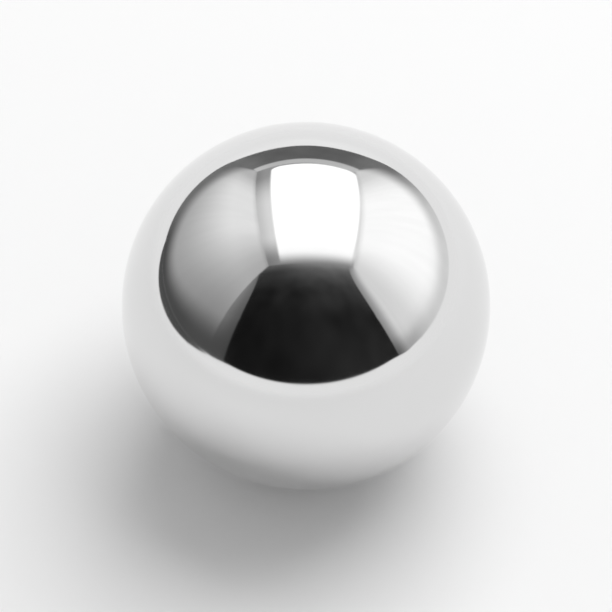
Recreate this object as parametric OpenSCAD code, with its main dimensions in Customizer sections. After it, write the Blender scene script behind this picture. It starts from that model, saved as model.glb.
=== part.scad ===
// Polished steel ball, of the loose kind used in bearings, runs and dispensers.
// It is one solid: a true sphere, ground and lapped all over, with no flat,
// seam, hole or coating. The origin is its centre, and +Z is up.

/* [Ball] */
// Diameter of the ball
ball_d = 8; // [1:0.5:50]

/* [Hidden] */

// Bright polished steel, neutral grey
steel = [0.86, 0.86, 0.87];

// Straight edges round the ball's outline in a preview
$fn = 128;

// The ball, centred on the origin
module ball() {
    color(steel)
        sphere(d = ball_d);
}

ball();
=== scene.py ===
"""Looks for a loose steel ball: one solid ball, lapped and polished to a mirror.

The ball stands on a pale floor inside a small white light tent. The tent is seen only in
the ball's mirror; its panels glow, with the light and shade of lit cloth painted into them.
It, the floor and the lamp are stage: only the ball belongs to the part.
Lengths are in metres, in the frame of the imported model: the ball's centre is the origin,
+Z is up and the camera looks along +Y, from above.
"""

import logging
import math
from abc import ABC, abstractmethod
from collections.abc import Mapping, Sequence
from dataclasses import dataclass, field
from enum import Enum
from typing import Any, ClassVar

import bpy
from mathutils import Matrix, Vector

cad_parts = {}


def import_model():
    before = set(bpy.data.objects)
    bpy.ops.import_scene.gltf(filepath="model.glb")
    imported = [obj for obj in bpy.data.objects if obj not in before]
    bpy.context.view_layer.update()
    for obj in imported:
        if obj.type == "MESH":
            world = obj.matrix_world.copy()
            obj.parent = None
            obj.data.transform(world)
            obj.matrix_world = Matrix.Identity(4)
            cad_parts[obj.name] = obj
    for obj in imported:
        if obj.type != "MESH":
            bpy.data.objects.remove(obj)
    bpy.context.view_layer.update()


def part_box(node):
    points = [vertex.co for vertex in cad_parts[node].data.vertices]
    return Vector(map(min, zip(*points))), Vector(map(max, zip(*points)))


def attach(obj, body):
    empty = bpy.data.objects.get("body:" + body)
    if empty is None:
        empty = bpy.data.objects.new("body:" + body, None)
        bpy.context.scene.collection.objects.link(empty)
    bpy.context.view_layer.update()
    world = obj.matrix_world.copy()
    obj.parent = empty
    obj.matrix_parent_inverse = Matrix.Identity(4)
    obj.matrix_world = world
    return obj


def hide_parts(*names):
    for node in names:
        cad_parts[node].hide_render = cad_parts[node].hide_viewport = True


LOG = logging.getLogger("steel_ball")
BALL_NODE = "ball"
BODY = "root"
PICTURE_WIDTH = 1.66
"""The width of the picture, in ball diameters."""
MILLIMETRES = 1000.0
"""Millimetres in a metre."""

Point = tuple[float, float, float]

MIX_FACTOR, MIX_START, MIX_END, MIX_RESULT = 0, 6, 7, 2
"""The sockets of a Mix node that mixes colours, by number."""


# Node trees -----------------------------------------------------------------------------


def grey(level: float) -> tuple[float, float, float, float]:
    """A neutral colour of one level, with full alpha."""
    return (level, level, level, 1.0)


class Signal:
    """A value in a node tree, written like a number.

    An operator adds the Math node that does it, so `1 - mask * 0.5` builds its own nodes.
    """

    def __init__(self, sheet: "NodeSheet", socket: bpy.types.NodeSocket) -> None:
        """Wraps a socket.

        Args:
            sheet: The tree that the socket belongs to.
            socket: The output socket that carries the value.
        """
        self.sheet = sheet
        self.socket = socket

    def _math(self, operation: str, *terms: "Signal | float", clamp: bool = False) -> "Signal":
        """Adds a Math node.

        Args:
            operation: The Math node's operation.
            terms: Its inputs, in order.
            clamp: Whether the result is held between 0 and 1.

        Returns:
            The node's result.
        """
        settings = {"operation": operation, "use_clamp": clamp}
        node = self.sheet.add("ShaderNodeMath", settings, dict(enumerate(terms)))
        return Signal(self.sheet, node.outputs[0])

    def __add__(self, other: "Signal | float") -> "Signal":
        """self + other."""
        return self._math("ADD", self, other)

    __radd__ = __add__

    def __sub__(self, other: "Signal | float") -> "Signal":
        """self - other."""
        return self._math("SUBTRACT", self, other)

    def __rsub__(self, other: float) -> "Signal":
        """other - self."""
        return self._math("SUBTRACT", other, self)

    def __mul__(self, other: "Signal | float") -> "Signal":
        """self * other."""
        return self._math("MULTIPLY", self, other)

    __rmul__ = __mul__

    def __abs__(self) -> "Signal":
        """The value without its sign."""
        return self._math("ABSOLUTE", self)

    def root(self) -> "Signal":
        """The square root."""
        return self._math("SQRT", self)

    def at_least(self, least: float) -> "Signal":
        """The larger of the value and `least`."""
        return self._math("MAXIMUM", self, least)

    def clipped(self) -> "Signal":
        """The value held between 0 and 1."""
        return self._math("ADD", self, 0.0, clamp=True)

    def eased(self, low: "Signal | float", high: "Signal | float") -> "Signal":
        """A smooth step.

        Args:
            low: Where the step is still 0.
            high: Where it has reached 1. It may be less than `low`.

        Returns:
            0 at low, 1 at high, and smooth between them.
        """
        node = self.sheet.add(
            "ShaderNodeMapRange",
            {"interpolation_type": "SMOOTHSTEP"},
            {"Value": self, "From Min": low, "From Max": high},
        )
        return Signal(self.sheet, node.outputs["Result"])

    def between(self, start: float, end: float) -> "Signal":
        """start where the value is 0, end where it is 1, and in proportion between."""
        return self * (end - start) + start

    def around_one(self, depth: float) -> "Signal":
        """1 - depth where the value is 0, and 1 + depth where it is 1."""
        return self.between(1 - depth, 1 + depth)


class NodeSheet:
    """A node tree, with one way of adding a node to it."""

    def __init__(self, tree: bpy.types.NodeTree) -> None:
        """Starts from an empty tree."""
        self.tree = tree
        self.tree.nodes.clear()

    def add(
        self,
        kind: str,
        settings: Mapping[str, Any] | None = None,
        sockets: Mapping[str | int, Any] | None = None,
    ) -> bpy.types.Node:
        """Adds a node.

        Args:
            kind: The node's type.
            settings: Its properties, which are set first.
            sockets: A value, a socket or a Signal for each input, by name or number.

        Returns:
            The new node.
        """
        node = self.tree.nodes.new(kind)
        for name, value in (settings or {}).items():
            setattr(node, name, value)
        for key, value in (sockets or {}).items():
            source = value.socket if isinstance(value, Signal) else value
            if isinstance(source, bpy.types.NodeSocket):
                self.tree.links.new(source, node.inputs[key])
            else:
                node.inputs[key].default_value = source
        return node

    def signal(self, node: bpy.types.Node, output: str | int = 0) -> Signal:
        """One output of a node as a Signal."""
        return Signal(self, node.outputs[output])

    def place(self) -> bpy.types.NodeSocket:
        """The shaded point in object coordinates, in metres."""
        return self.add("ShaderNodeTexCoord").outputs["Object"]

    def axes(self, vector: bpy.types.NodeSocket) -> tuple[Signal, Signal, Signal]:
        """The X, Y and Z of a vector."""
        split = self.add("ShaderNodeSeparateXYZ", sockets={"Vector": vector})
        return self.signal(split, 0), self.signal(split, 1), self.signal(split, 2)

    def scaled(self, vector: bpy.types.NodeSocket, scale: Point) -> bpy.types.NodeSocket:
        """A vector multiplied by a scale on each axis."""
        node = self.add("ShaderNodeVectorMath", {"operation": "MULTIPLY"}, {0: vector, 1: scale})
        return node.outputs[0]

    def noise(self, vector: bpy.types.NodeSocket, size: float, detail: float = 2.0) -> Signal:
        """Smooth noise between 0 and 1.

        Args:
            vector: Where the noise is read.
            size: The width of one patch, in the vector's unit.
            detail: How many finer layers are added.

        Returns:
            The noise.
        """
        node = self.add(
            "ShaderNodeTexNoise", sockets={"Vector": vector, "Scale": 1 / size, "Detail": detail}
        )
        return self.signal(node, "Fac")

    def shade(self, factor: Signal, start: float, end: float) -> bpy.types.NodeSocket:
        """A neutral colour between two levels.

        Args:
            factor: 0 for the first level and 1 for the second.
            start: The first level.
            end: The second level.

        Returns:
            The mixed colour.
        """
        sockets = {MIX_FACTOR: factor, MIX_START: grey(start), MIX_END: grey(end)}
        node = self.add("ShaderNodeMix", {"data_type": "RGBA"}, sockets)
        return node.outputs[MIX_RESULT]

    def seen_rays(self) -> Signal:
        """1 for rays that the eye follows, straight or by way of a mirror, and else 0."""
        path = self.add("ShaderNodeLightPath")
        camera, glossy = self.signal(path, "Is Camera Ray"), self.signal(path, "Is Glossy Ray")
        clear = (camera + glossy + self.signal(path, "Is Transmission Ray")).clipped()
        return clear * (1 - self.signal(path, "Diffuse Depth")).at_least(0.0)

    def mixed(
        self, factor: Signal, first: bpy.types.Node, second: bpy.types.Node
    ) -> bpy.types.Node:
        """A Mix Shader of two shaders: the first where the factor is 0."""
        return self.add(
            "ShaderNodeMixShader", sockets={0: factor, 1: first.outputs[0], 2: second.outputs[0]}
        )


def new_material(name: str) -> tuple[bpy.types.Material, NodeSheet]:
    """A material with an empty node tree, and that tree.

    Args:
        name: The material's name.

    Returns:
        The material and its tree.
    """
    material = bpy.data.materials.new(name)
    material.use_nodes = True
    return material, NodeSheet(material.node_tree)


@dataclass(frozen=True)
class Ramp:
    """A level that eases from one value to another between two places.

    It is `first` up to the place `start`, and `last` past the place `end`.
    """

    start: float
    end: float
    first: float
    last: float

    def over(self, place: Signal) -> Signal:
        """The level at a place."""
        return place.eased(self.start, self.end).between(self.first, self.last)


# Meshes ---------------------------------------------------------------------------------


def mesh_from_faces(
    name: str, points: Sequence[Point], faces: Sequence[tuple[int, ...]]
) -> bpy.types.Mesh:
    """A mesh from points and faces.

    Args:
        name: The mesh's name.
        points: Its corners.
        faces: The corners of each face, by number.

    Returns:
        The mesh.
    """
    mesh = bpy.data.meshes.new(name)
    mesh.from_pydata(points, [], faces)
    mesh.update()
    return mesh


def stage_object(mesh: bpy.types.Mesh, material: bpy.types.Material) -> bpy.types.Object:
    """Puts a mesh in the scene as stage, at the origin.

    Args:
        mesh: The mesh, which also gives the name.
        material: Its only material.

    Returns:
        The object.
    """
    mesh.materials.append(material)
    thing = bpy.data.objects.new(mesh.name, mesh)
    bpy.context.scene.collection.objects.link(thing)
    return thing


# The ball -------------------------------------------------------------------------------


@dataclass(frozen=True)
class MirrorSteel:
    """Bare hardened steel, ground, lapped and polished to a mirror."""

    shade: float = 0.73
    shade_drift: float = 0.010
    roughness: float = 0.040
    haze: float = 0.030
    haze_patch: float = 0.0016
    haze_start: float = 0.42
    haze_end: float = 0.75
    lap_mark: float = 0.00009
    lap_depth: float = 0.00000003
    lap_haze: float = 0.009

    def material(self) -> bpy.types.Material:
        """Builds the finish.

        Returns:
            The material, with a faint haze and the fine marks that lapping leaves.
        """
        material, sheet = new_material("polished_steel")
        place = sheet.place()
        patches = sheet.noise(place, self.haze_patch, detail=3.0)
        marks = sheet.noise(place, self.lap_mark, detail=4.0)
        haze = patches.eased(self.haze_start, self.haze_end) * self.haze
        lap = sheet.add(
            "ShaderNodeBump",
            sockets={"Strength": 1.0, "Distance": self.lap_depth, "Height": marks},
        )
        colour = sheet.shade(patches, self.shade + self.shade_drift, self.shade - self.shade_drift)
        steel = sheet.add(
            "ShaderNodeBsdfPrincipled",
            sockets={
                "Metallic": 1.0,
                "Base Color": colour,
                "Roughness": haze + marks * self.lap_haze + self.roughness,
                "Normal": lap.outputs[0],
            },
        )
        sheet.add("ShaderNodeOutputMaterial", sockets={"Surface": steel.outputs[0]})
        return material


@dataclass
class SteelBall:
    """The ball: its mesh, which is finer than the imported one, and its finish."""

    diameter: float
    cuts: int = 64
    finish: MirrorSteel = field(default_factory=MirrorSteel)

    def shape_tree(self) -> tuple[bpy.types.GeometryNodeTree, dict[str, str]]:
        """Builds the tree that rounds a cube grid into a ball.

        A tangent first spreads the grid evenly in angle, so that its faces stay alike in size.

        Returns:
            The tree, and the identifier of each of its inputs by name.
        """
        tree = bpy.data.node_groups.new("ball_shape", "GeometryNodeTree")
        face = tree.interface
        face.new_socket("Geometry", in_out="INPUT", socket_type="NodeSocketGeometry")
        face.new_socket("Diameter", in_out="INPUT", socket_type="NodeSocketFloat")
        face.new_socket("Cuts", in_out="INPUT", socket_type="NodeSocketInt")
        face.new_socket("Finish", in_out="INPUT", socket_type="NodeSocketMaterial")
        face.new_socket("Geometry", in_out="OUTPUT", socket_type="NodeSocketGeometry")
        sheet = NodeSheet(tree)
        given = sheet.add("NodeGroupInput")
        corners = sheet.signal(given, "Cuts") + 1
        counts = {f"Vertices {axis}": corners for axis in "XYZ"}
        grid = sheet.add("GeometryNodeMeshCube", sockets={"Size": (2.0, 2.0, 2.0), **counts})
        spot = sheet.add("GeometryNodeInputPosition")
        angle = sheet.scaled(spot.outputs[0], (math.pi / 4,) * 3)
        spread = sheet.add("ShaderNodeVectorMath", {"operation": "TANGENT"}, {0: angle})
        outward = sheet.add(
            "ShaderNodeVectorMath", {"operation": "NORMALIZE"}, {0: spread.outputs[0]}
        )
        radius = sheet.signal(given, "Diameter") * 0.5
        skin = sheet.add(
            "ShaderNodeVectorMath", {"operation": "SCALE"}, {0: outward.outputs[0], "Scale": radius}
        )
        rounded = sheet.add(
            "GeometryNodeSetPosition",
            sockets={"Geometry": grid.outputs["Mesh"], "Position": skin.outputs[0]},
        )
        smooth = sheet.add("GeometryNodeSetShadeSmooth", sockets={"Geometry": rounded.outputs[0]})
        real = sheet.add("GeometryNodeRealizeInstances", sockets={"Geometry": smooth.outputs[0]})
        dressed = sheet.add(
            "GeometryNodeSetMaterial",
            sockets={"Geometry": real.outputs[0], "Material": given.outputs["Finish"]},
        )
        sheet.add("NodeGroupOutput", sockets={0: dressed.outputs[0]})
        names = {item.name: item.identifier for item in face.items_tree if item.in_out == "INPUT"}
        return tree, names

    def build(self) -> bpy.types.Object:
        """Makes the ball and dresses it.

        Returns:
            The finished piece, as a plain mesh centred on the origin.
        """
        tree, names = self.shape_tree()
        steel = self.finish.material()
        maker = bpy.data.objects.new("ball_maker", bpy.data.meshes.new("ball_maker"))
        bpy.context.scene.collection.objects.link(maker)
        shaping = maker.modifiers.new("ball_shape", "NODES")
        shaping.node_group = tree
        shaping[names["Diameter"]] = self.diameter
        shaping[names["Cuts"]] = self.cuts
        shaping[names["Finish"]] = steel
        depsgraph = bpy.context.evaluated_depsgraph_get()
        mesh = bpy.data.meshes.new_from_object(maker.evaluated_get(depsgraph))
        bpy.data.objects.remove(maker)
        mesh.name = "steel_ball"
        mesh.materials.clear()
        mesh.materials.append(steel)
        ball = bpy.data.objects.new("steel_ball", mesh)
        bpy.context.scene.collection.objects.link(ball)
        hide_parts(BALL_NODE)
        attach(ball, BODY)
        return ball


# The light tent -------------------------------------------------------------------------


class Side(Enum):
    """The two side walls of the light tent, with the sign of their X."""

    LEFT = -1
    RIGHT = 1


@dataclass(frozen=True)
class TentSize:
    """How far the panels of the light tent are from the ball's centre.

    The tent widens towards the back. A white backdrop covers its floor and rises at the
    back; by the left wall a panel paints a shadow on the floor. Heights over the floor are
    called rises here, and an `edge` is half the width of a soft edge.
    """

    floor: float
    height: float = 0.210
    front: float = 0.055
    back: float = 0.368
    left_front: float = 0.090
    left_back: float = 0.151
    right_front: float = 0.118
    right_back: float = 0.153

    def wall(self, side: Side, along: float) -> float:
        """The X of a side wall.

        Args:
            side: Which wall.
            along: How far behind the ball.

        Returns:
            The wall's X there.
        """
        front, back = (
            (self.left_front, self.left_back)
            if side is Side.LEFT
            else (self.right_front, self.right_back)
        )
        share = (along + self.front) / (self.back + self.front)
        return side.value * (front + (back - front) * share)

    def upright(self, name: str, ends: Sequence[tuple[float, float]]) -> bpy.types.Mesh:
        """A flat upright panel, from the floor to the ceiling.

        Args:
            name: The mesh's name.
            ends: The X and Y of its two upright edges.

        Returns:
            The mesh.
        """
        low = [(x, y, self.floor) for x, y in ends]
        high = [(x, y, self.height) for x, y in reversed(ends)]
        return mesh_from_faces(name, low + high, [(0, 1, 2, 3)])

    def crossing(self, name: str, along: float) -> bpy.types.Mesh:
        """A flat upright panel from one side wall to the other."""
        return self.upright(name, [(self.wall(side, along), along) for side in Side])


@dataclass(frozen=True)
class PaintedFootShade:
    """Painted shade at the foot of the cloth: a dark strip.

    `foot` is the rise of its upper edge in front of the ball and beside it. Further back the
    edge climbs to the rise of the painted shade band over the backdrop's raised end.
    """

    foot: Ramp = Ramp(-0.055, 0.0, 0.009, 0.009)
    gap: float = 0.181
    patch: float = 0.05
    patch_depth: float = 0.20

    def rise(self, size: TentSize, along: Signal) -> Signal:
        """The middle of the strip's soft upper edge on a side wall.

        Args:
            size: The tent's size.
            along: The distance behind the ball.

        Returns:
            Its rise there.
        """
        climb = (self.gap - self.foot.last) / size.back**2
        behind = along.at_least(0.0)
        return behind * behind * climb + self.foot.over(along)

    def patches(self, sheet: NodeSheet) -> Signal:
        """Soft patches of light, around 1."""
        return sheet.noise(sheet.place(), self.patch).around_one(self.patch_depth)


@dataclass(frozen=True)
class Lip:
    """The backdrop's near edge. It turns up at the opening, and less at the side walls.

    `middle` is the X around which it is highest.
    """

    middle: float = 0.006
    front: Ramp = Ramp(0.055, 0.100, 0.0047, 0.0010)
    side: Ramp = Ramp(-0.055, 0.010, 0.0010, 0.0)
    edge: float = 0.0008

    def over(self, shown: Signal, rise: Signal, top: Signal) -> Signal:
        """Lays the lip over what is behind it.

        Args:
            shown: How brightly the panel shines.
            rise: The rise of a place.
            top: The lip's rise there.

        Returns:
            The panel's light with the white lip before it.
        """
        cover = (top - rise).eased(-self.edge, self.edge)
        return shown * (1 - cover) + cover


@dataclass
class Panel(ABC):
    """One panel of the light tent. It glows with painted light and shade; only mirrors show it."""

    size: TentSize
    on_the_floor: ClassVar[float] = 0.55
    """The share of its light that the ball throws on the floor."""

    @abstractmethod
    def mesh(self) -> bpy.types.Mesh:
        """The panel's surface."""

    @abstractmethod
    def glow(self, sheet: NodeSheet) -> Signal:
        """How brightly the panel shines, over its surface."""

    def build(self) -> bpy.types.Object:
        """Makes the panel, with a plain material that shines.

        Returns:
            The panel, as a stage object that only mirrors show.
        """
        mesh = self.mesh()
        material, sheet = new_material(mesh.name)
        light = self.glow(sheet) * sheet.seen_rays().between(self.on_the_floor, 1.0)
        cloth = sheet.add("ShaderNodeEmission", sockets={"Color": light, "Strength": 1.0})
        sheet.add("ShaderNodeOutputMaterial", sockets={"Surface": cloth.outputs[0]})
        card = stage_object(mesh, material)
        card.visible_camera = False
        card.visible_diffuse = False
        card.visible_shadow = False
        card.visible_transmission = False
        card.visible_volume_scatter = False
        return card


@dataclass(frozen=True)
class Softbox:
    """The light over the ceiling: a long box with rounded corners that widens to the back."""

    middle: float = 0.025
    half: float = 0.089
    spread: float = 0.104
    back: float = 0.353
    front: float = 0.090
    corner: float = 0.030
    edge: float = 0.003
    light: Ramp = Ramp(-0.055, 0.030, 1.23, 1.54)
    front_fade: Ramp = Ramp(-0.058, -0.022, 0.22, 1.0)

    def inside(self, across: Signal, along: Signal) -> Signal:
        """1 inside the box and 0 outside it, with a soft edge.

        Args:
            across: The distance to the right of the ball.
            along: The distance behind the ball.

        Returns:
            The box's mask on the ceiling.
        """
        centre = (self.back - self.front) / 2
        length = (self.back + self.front) / 2
        sideways = abs(across - self.middle) - along * self.spread
        over_x = (sideways - (self.half - self.corner)).at_least(0.0)
        over_y = (abs(along - centre) - (length - self.corner)).at_least(0.0)
        outside = (over_x * over_x + over_y * over_y).root() - self.corner
        return outside.eased(self.edge, -self.edge)


@dataclass
class Ceiling(Panel):
    """The ceiling: a softbox, with cloth beside it in painted shade that darkens to the walls.

    On either side of the box the cloth's painted light is a ramp in front times one at the back.
    """

    softbox: Softbox = field(default_factory=Softbox)
    left_front: Ramp = Ramp(-0.045, 0.020, 0.33, 0.92)
    left_back: Ramp = Ramp(0.110, 0.290, 1.0, 0.42)
    right_front: Ramp = Ramp(-0.058, -0.022, 0.34, 0.96)
    right_back: Ramp = Ramp(0.140, 0.300, 1.24, 0.62)
    rightward: Ramp = Ramp(-0.05, 0.09, 0.0, 1.0)
    corner_shade: Ramp = Ramp(0.0, 0.032, 0.80, 1.0)
    patch: float = 0.03
    patch_depth: float = 0.03

    def mesh(self) -> bpy.types.Mesh:
        """The flat ceiling."""
        size = self.size
        spots = ((Side.LEFT, -size.front), (Side.RIGHT, -size.front))
        spots += ((Side.RIGHT, size.back), (Side.LEFT, size.back))
        corners = [(size.wall(side, along), along, size.height) for side, along in spots]
        return mesh_from_faces("tent_ceiling", corners, [(0, 1, 2, 3)])

    def from_wall(self, side: Side, across: Signal, along: Signal) -> Signal:
        """How far a place on the ceiling is from a side wall.

        Args:
            side: Which wall.
            across: The distance to the right of the ball.
            along: The distance behind the ball.

        Returns:
            The distance, measured across the tent.
        """
        beside = self.size.wall(side, 0.0)
        slope = self.size.wall(side, 1.0) - beside
        return (along * slope + beside - across) * side.value

    def glow(self, sheet: NodeSheet) -> Signal:
        """A bright softbox, and cloth beside it in painted shade to the front, back and walls."""
        place = sheet.place()
        across, along, _ = sheet.axes(place)
        # Painted light and shade of the cloth beside the softbox.
        left = self.left_front.over(along) * self.left_back.over(along)
        right = self.right_front.over(along) * self.right_back.over(along)
        rightness = self.rightward.over(across)
        cloth = left * (1 - rightness) + right * rightness
        # Painted shade: the cloth darkens near each wall, in the corner.
        for side in Side:
            cloth *= self.corner_shade.over(self.from_wall(side, across, along))
        box = self.softbox.inside(across, along)
        lit = self.softbox.light.over(along) * self.softbox.front_fade.over(along)
        patches = sheet.noise(place, self.patch).around_one(self.patch_depth)
        return (lit * box + cloth * (1 - box)) * patches


@dataclass
class SideWall(Panel):
    """A side wall: cloth over a dark strip of painted shade at its foot. Its painted light is
    brightest high up, and greyer in front.

    The cloth's light is `near` times `far`, along the wall, times `high`, over the rise. The
    strip's is `strip_near` times `strip_far`. The strip's soft edge runs from `strip_start`
    times its middle height to `strip_end` times that height and `strip_blur` more.
    """

    side: Side
    near: Ramp
    far: Ramp
    high: Ramp
    strip_near: Ramp
    strip_far: Ramp
    strip: PaintedFootShade = field(default_factory=PaintedFootShade)
    strip_start: Ramp = Ramp(0.280, 0.368, 0.40, 0.98)
    strip_end: float = 1.15
    strip_blur: Ramp = Ramp(0.280, 0.368, 0.018, 0.0)
    corner_shade: Ramp = Ramp(0.0, 0.025, 0.84, 1.0)
    lip: Lip = field(default_factory=Lip)
    fold: float = 0.014
    fold_depth: float = 0.05
    fold_stretch: Point = (1.0, 1.0, 0.10)

    def mesh(self) -> bpy.types.Mesh:
        """The flat wall."""
        size = self.size
        ends = [(size.wall(self.side, along), along) for along in (-size.front, size.back)]
        return size.upright(f"tent_{self.side.name.lower()}", ends)

    def shine(
        self, sheet: NodeSheet, on_cloth: Signal | float = 1.0, on_strip: Signal | float = 1.0
    ) -> Signal:
        """The painted light of the cloth, with the painted shade of faint upright folds, and the
        painted shade of the strip at its foot.

        Args:
            sheet: The panel's node tree.
            on_cloth: A factor for the cloth.
            on_strip: A factor for the strip.

        Returns:
            The light.
        """
        place = sheet.place()
        _, along, up = sheet.axes(place)
        rise = up - self.size.floor
        # Painted light and shade: faint folds, brighter high up, greyer in front, darker near the
        # ceiling.
        folds = sheet.noise(sheet.scaled(place, self.fold_stretch), self.fold)
        cloth = self.near.over(along) * self.far.over(along) * self.high.over(rise)
        cloth *= folds.around_one(self.fold_depth) * self.corner_shade.over(self.size.height - up)
        cloth *= on_cloth
        # Painted shade at the cloth's foot: a dark strip with a soft upper edge.
        middle = self.strip.rise(self.size, along)
        strip_end = middle * self.strip_end + self.strip_blur.over(along)
        bare = rise.eased(middle * self.strip_start.over(along), strip_end)
        dark = self.strip_near.over(along) * self.strip_far.over(along) * self.strip.patches(sheet)
        dark *= on_strip
        return cloth * bare + dark * (1 - bare)

    def glow(self, sheet: NodeSheet) -> Signal:
        """The wall's painted light and shade, with the backdrop's lip before its foot."""
        _, along, up = sheet.axes(sheet.place())
        return self.lip.over(self.shine(sheet), up - self.size.floor, self.lip.side.over(along))


@dataclass(frozen=True)
class Flap:
    """The cloth beside the opening: a side wall's cloth, turned in at the front.

    Its curved edge is nearest the middle at its waist. The cloth dims towards that edge in
    painted shade, and so does the painted shade at its foot, by a dimming of its own.
    """

    waist: float
    waist_height: float
    top_flare: float
    foot_flare: float
    dimming: Ramp
    strip_dimming: Ramp
    edge: float = 0.0012

    def inward(self, beside: Signal, up: Signal) -> Signal:
        """How far outside the flap's edge a place is.

        Args:
            beside: The distance from the middle of the opening, towards the flap.
            up: The height over the ball's centre.

        Returns:
            The distance, which is negative in the opening.
        """
        above = (up - self.waist_height).at_least(0.0)
        below = (self.waist_height - up).at_least(0.0)
        reach = above * above * self.top_flare + below * below * self.foot_flare + self.waist
        return beside - reach


@dataclass
class Front(Panel):
    """The front: painted shade of a dark room, between two flaps and over the backdrop's lip."""

    walls: Mapping[Side, SideWall]
    flaps: Mapping[Side, Flap]
    lip: Lip = field(default_factory=Lip)
    room_light: Ramp = Ramp(-0.06, 0.07, 0.0135, 0.031)
    room_rise: Ramp = Ramp(0.045, 0.080, 0.75, 1.30)
    room_patch: float = 0.022
    room_depth: float = 0.70
    room_stretch: Point = (1.0, 1.0, 0.6)
    upper: Ramp = Ramp(0.080, 0.165, 0.0, 1.0)
    upper_light: Ramp = Ramp(-0.06, 0.04, 0.034, 0.094)
    top: Ramp = Ramp(0.150, 0.215, 0.0, 1.0)
    top_light: Ramp = Ramp(-0.06, 0.00, 0.086, 0.154)

    def mesh(self) -> bpy.types.Mesh:
        """The flat front."""
        return self.size.crossing("tent_front", -self.size.front)

    def glow(self, sheet: NodeSheet) -> Signal:
        """A dark room in painted shade, painted light under the softbox, the flaps beside it."""
        place = sheet.place()
        across, _, up = sheet.axes(place)
        # Painted shade: the dark room beyond the opening.
        patches = sheet.noise(sheet.scaled(place, self.room_stretch), self.room_patch, detail=1.0)
        shown = patches.around_one(self.room_depth) * self.room_light.over(across)
        shown *= self.room_rise.over(up)
        # Painted light: paler bands high up, under the softbox.
        shown += self.upper.over(up) * self.upper_light.over(across)
        shown += self.top.over(up) * self.top_light.over(across)
        for side, flap in self.flaps.items():
            inward = flap.inward(across * side.value, up)
            cover = inward.eased(-flap.edge, flap.edge)
            cloth = self.walls[side].shine(
                sheet,
                on_cloth=flap.dimming.over(inward),
                on_strip=flap.strip_dimming.over(inward),
            )
            shown = shown * (1 - cover) + cloth * cover
        lip_top = self.lip.front.over(abs(across - self.lip.middle))
        return self.lip.over(shown, up - self.size.floor, lip_top)


@dataclass
class Back(Panel):
    """The back: cloth over a dark band of painted shade, above the backdrop's raised end."""

    strip: PaintedFootShade = field(default_factory=PaintedFootShade)
    dark: Ramp = Ramp(0.090, 0.150, 0.144, 0.202)
    cloth_light: float = 0.48
    edge: float = 0.005

    def mesh(self) -> bpy.types.Mesh:
        """The flat back."""
        return self.size.crossing("tent_back", self.size.back)

    def glow(self, sheet: NodeSheet) -> Signal:
        """Painted shade below, and grey cloth above it."""
        across, _, up = sheet.axes(sheet.place())
        over_shade_band = up - self.size.floor - self.strip.gap
        dark = self.strip.patches(sheet) * self.dark.over(abs(across))
        return dark + over_shade_band.eased(-self.edge, self.edge) * self.cloth_light


@dataclass
class Backdrop(Panel):
    """The white backdrop, where it leaves the floor and rises to the back in one arc.

    Here it is as wide as the tent. Beside the walls it leaves the floor earlier, by `lead`,
    and ends lower, by the share `sag`.
    """

    start: float = 0.178
    top: float = 0.071
    rows: int = 24
    columns: int = 24
    lead: float = 0.11
    sag: float = 0.40
    side_power: int = 3
    clearance: float = 0.0005
    light: Ramp = Ramp(0.185, 0.368, 1.0, 1.08)
    patch: float = 0.06
    patch_depth: float = 0.04

    def point(self, share: float, step: float) -> Point:
        """One point of the raised end.

        Args:
            share: How far across the tent, from 0 at the left wall to 1 at the right one.
            step: How far along the arc, from 0 on the floor to 1 at the back.

        Returns:
            The point.
        """
        size = self.size
        beside = abs(2 * share - 1) ** self.side_power
        start = self.start - self.lead * beside
        run = size.back - start
        rise = (self.top - size.floor) * (1 - self.sag * beside)
        radius = (run * run + rise * rise) / (2 * rise)
        turn = math.asin(run / radius) * step
        along = start + radius * math.sin(turn)
        up = size.floor + radius * (1 - math.cos(turn))
        left, right = size.wall(Side.LEFT, along), size.wall(Side.RIGHT, along)
        return (left + (right - left) * share, along - self.clearance, up)

    def mesh(self) -> bpy.types.Mesh:
        """The raised end of the backdrop."""
        steps = [row / self.rows for row in range(self.rows + 1)]
        shares = [column / self.columns for column in range(self.columns + 1)]
        points = [self.point(share, step) for step in steps for share in shares]
        wide = self.columns + 1
        starts = [row * wide + column for row in range(self.rows) for column in range(self.columns)]
        faces = [(start, start + 1, start + wide + 1, start + wide) for start in starts]
        return mesh_from_faces("tent_backdrop", points, faces)

    def glow(self, sheet: NodeSheet) -> Signal:
        """Bright white, with soft clouds."""
        place = sheet.place()
        _, along, _ = sheet.axes(place)
        clouds = sheet.noise(place, self.patch).around_one(self.patch_depth)
        return clouds * self.light.over(along)


@dataclass
class PaintedFloorShadow(Panel):
    """A painted shadow on the floor between the backdrop and a side wall, as dark as the
    painted shade at the wall's foot.

    Seen from the ball, the shadow is widest straight towards the wall, where its edge is at
    `near`. It narrows evenly to both sides, up to where its edge meets the wall.
    """

    wall: SideWall
    near: float = 0.040
    narrowing: float = 37.0
    behind: float = 0.070
    margin: float = 0.004
    edge: float = 0.003
    clearance: float = 0.0003

    def mesh(self) -> bpy.types.Mesh:
        """A flat sheet just over the floor."""
        size, side = self.size, self.wall.side
        inner = side.value * (self.near - self.margin)
        spots = [(size.wall(side, along), along) for along in (self.behind, -size.front)]
        spots += [(inner, -size.front), (inner, self.behind)]
        corners = [(x, y, size.floor + self.clearance) for x, y in spots]
        return mesh_from_faces("tent_floor_shadow", corners, [(0, 1, 2, 3)])

    def glow(self, sheet: NodeSheet) -> Signal:
        """White up to its soft edge, and painted shadow beyond it."""
        across, along, _ = sheet.axes(sheet.place())
        outward = across * self.wall.side.value
        beyond = outward * outward * (1 / self.near) - outward - along * along * self.narrowing
        cover = beyond.eased(-self.edge, self.edge)
        dark = self.wall.strip.patches(sheet) * self.wall.strip_near.first
        return 1 - cover * (1 - dark)


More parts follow.
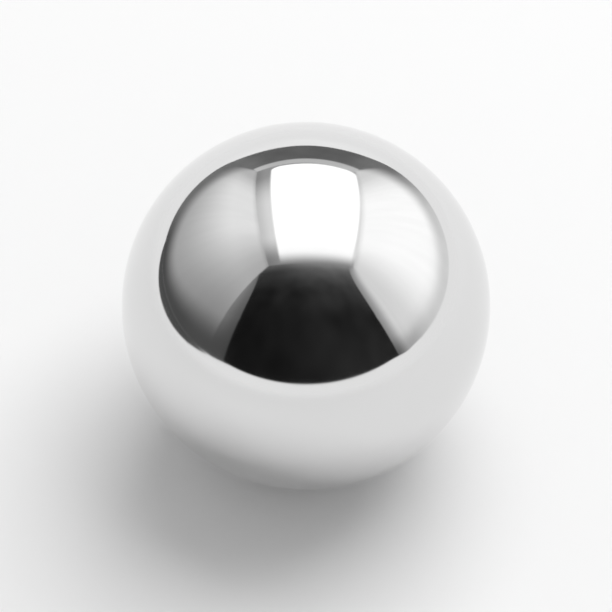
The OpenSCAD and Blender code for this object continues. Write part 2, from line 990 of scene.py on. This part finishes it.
@dataclass
class LightTent:
    """A small white light tent, open at the front. The ball stands near the opening."""

    size: TentSize

    def left_wall(self) -> SideWall:
        """The left wall, painted greyer. Its painted foot shade is taller in front of the ball."""
        return SideWall(
            self.size,
            side=Side.LEFT,
            near=Ramp(-0.050, 0.060, 0.56, 1.01),
            far=Ramp(0.150, 0.300, 1.0, 0.60),
            high=Ramp(0.0, 0.126, 0.45, 1.0),
            strip_near=Ramp(0.060, 0.130, 0.088, 0.21),
            strip_far=Ramp(0.220, 0.330, 1.0, 0.95),
            strip=PaintedFootShade(foot=Ramp(-0.085, 0.045, 0.034, 0.002)),
            lip=Lip(side=Ramp(-0.055, -0.035, 0.0010, 0.0)),
        )

    def right_wall(self) -> SideWall:
        """The right wall, which is lit most, down to its foot."""
        return SideWall(
            self.size,
            side=Side.RIGHT,
            near=Ramp(-0.060, 0.020, 0.86, 1.31),
            far=Ramp(0.126, 0.300, 1.0, 0.65),
            high=Ramp(0.0, 0.042, 0.78, 1.0),
            strip_near=Ramp(-0.062, -0.005, 0.46, 0.84),
            strip_far=Ramp(0.085, 0.300, 1.0, 0.25),
        )

    def flaps(self) -> dict[Side, Flap]:
        """The two flaps beside the opening."""
        left = Flap(
            waist=0.061,
            waist_height=0.020,
            top_flare=1.6,
            foot_flare=0.0,
            dimming=Ramp(0.0, 0.027, 0.36, 0.58),
            strip_dimming=Ramp(0.0, 0.010, 0.90, 1.0),
        )
        right = Flap(
            waist=0.069,
            waist_height=0.060,
            top_flare=1.7,
            foot_flare=2.6,
            dimming=Ramp(0.0, 0.028, 0.40, 1.0),
            strip_dimming=Ramp(0.0, 0.030, 0.30, 1.0),
        )
        return {Side.LEFT: left, Side.RIGHT: right}

    def build(self) -> list[bpy.types.Object]:
        """Makes every panel.

        Returns:
            The panels, as stage objects.
        """
        walls = {Side.LEFT: self.left_wall(), Side.RIGHT: self.right_wall()}
        front = Front(self.size, walls=walls, flaps=self.flaps())
        # A painted shadow on the floor by the left wall.
        gap = PaintedFloorShadow(self.size, wall=walls[Side.LEFT])
        panels: list[Panel] = [Ceiling(self.size), *walls.values(), front]
        panels += [Back(self.size), Backdrop(self.size), gap]
        return [panel.build() for panel in panels]


# Floor, light and camera ----------------------------------------------------------------


@dataclass(frozen=True)
class MattWhite:
    """A matt white surface that turns plain white far from the ball."""

    shade: float = 0.92
    fade_start: float = 0.020
    fade_end: float = 0.045

    def material(self) -> bpy.types.Material:
        """Builds the finish.

        Returns:
            The material. It is matt wherever the ball's shadow falls.
        """
        material, sheet = new_material("matt_white")
        across, along, _ = sheet.axes(sheet.place())
        reach = (across * across + along * along).root()
        far = reach.eased(self.fade_start, self.fade_end) * sheet.seen_rays()
        matt = sheet.add("ShaderNodeBsdfDiffuse", sockets={"Color": grey(self.shade)})
        white = sheet.add("ShaderNodeEmission", sockets={"Color": grey(1.0), "Strength": 1.0})
        surface = sheet.mixed(far, matt, white)
        sheet.add("ShaderNodeOutputMaterial", sockets={"Surface": surface.outputs[0]})
        return material


@dataclass
class Floor:
    """The pale floor that the ball stands on."""

    level: float
    half_width: float = 1.5
    finish: MattWhite = field(default_factory=MattWhite)

    def build(self) -> bpy.types.Object:
        """Makes the floor.

        Returns:
            One flat stage object.
        """
        reach = self.half_width
        corners = [
            (-reach, -reach, self.level),
            (reach, -reach, self.level),
            (reach, reach, self.level),
            (-reach, reach, self.level),
        ]
        mesh = mesh_from_faces("pale_floor", corners, [(0, 1, 2, 3)])
        return stage_object(mesh, self.finish.material())


@dataclass
class StudioLight:
    """Soft, plain light: a white surround, and one broad lamp above, behind and on the right."""

    surround: float = 0.507
    lamp_size: float = 0.26
    lamp_place: Point = (0.08, 0.11, 0.22)
    lamp_power: float = 0.56

    def build(self) -> None:
        """Makes the surround and the lamp."""
        world = bpy.data.worlds.new("white_surround")
        bpy.context.scene.world = world
        world.use_nodes = True
        sheet = NodeSheet(world.node_tree)
        soft = sheet.add("ShaderNodeBackground", sockets={"Strength": self.surround, 0: grey(1.0)})
        white = sheet.add("ShaderNodeBackground", sockets={"Strength": 1.0, 0: grey(1.0)})
        surface = sheet.mixed(sheet.seen_rays(), soft, white)
        sheet.add("ShaderNodeOutputWorld", sockets={"Surface": surface.outputs[0]})
        data = bpy.data.lights.new("soft_lamp", "AREA")
        data.shape = "SQUARE"
        data.size = self.lamp_size
        data.energy = self.lamp_power
        lamp = bpy.data.objects.new("soft_lamp", data)
        bpy.context.scene.collection.objects.link(lamp)
        lamp.location = self.lamp_place
        lamp.rotation_euler = (-Vector(self.lamp_place)).to_track_quat("-Z", "Y").to_euler()
        lamp.visible_camera = False
        lamp.visible_glossy = False


@dataclass
class Viewpoint:
    """A camera with a long lens that looks down on the ball."""

    target: Vector
    width: float
    elevation: float = 49.0
    lens: float = 1000.0
    sensor: float = 36.0
    nearest: float = 0.01
    farthest: float = 10.0

    def build(self) -> bpy.types.Object:
        """Makes the camera and gives it to the scene.

        Returns:
            The camera. It sees from `nearest` to `farthest` times its distance.
        """
        data = bpy.data.cameras.new("viewpoint")
        data.lens = self.lens
        data.sensor_width = self.sensor
        distance = self.width * self.lens / self.sensor
        data.clip_start = distance * self.nearest
        data.clip_end = distance * self.farthest
        tilt = math.radians(self.elevation)
        towards = Vector((0.0, -math.cos(tilt), math.sin(tilt)))
        camera = bpy.data.objects.new("viewpoint", data)
        bpy.context.scene.collection.objects.link(camera)
        camera.location = self.target + towards * distance
        camera.rotation_euler = (-towards).to_track_quat("-Z", "Y").to_euler()
        bpy.context.scene.camera = camera
        return camera


# The whole scene ------------------------------------------------------------------------


def main() -> None:
    """Builds the ball and its stage."""
    logging.basicConfig(level=logging.INFO, format="%(name)s: %(message)s")
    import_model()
    low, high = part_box(BALL_NODE)
    diameter = high.z - low.z
    bpy.context.scene.view_settings.view_transform = "Standard"

    ball = SteelBall(diameter).build()
    across = diameter * MILLIMETRES
    LOG.info("%s: %.2f mm across, %d faces", ball.name, across, len(ball.data.polygons))
    floor = Floor(level=low.z).build()
    LOG.info("%s: %.2f mm under the ball's centre", floor.name, -low.z * MILLIMETRES)
    for card in LightTent(TentSize(floor=low.z)).build():
        LOG.info("%s: stage, seen only in the mirror", card.name)
    StudioLight().build()
    camera = Viewpoint(target=(low + high) / 2, width=diameter * PICTURE_WIDTH).build()
    LOG.info("%s: lens %.0f mm", camera.name, camera.data.lens)


if __name__ == "__main__":
    main()
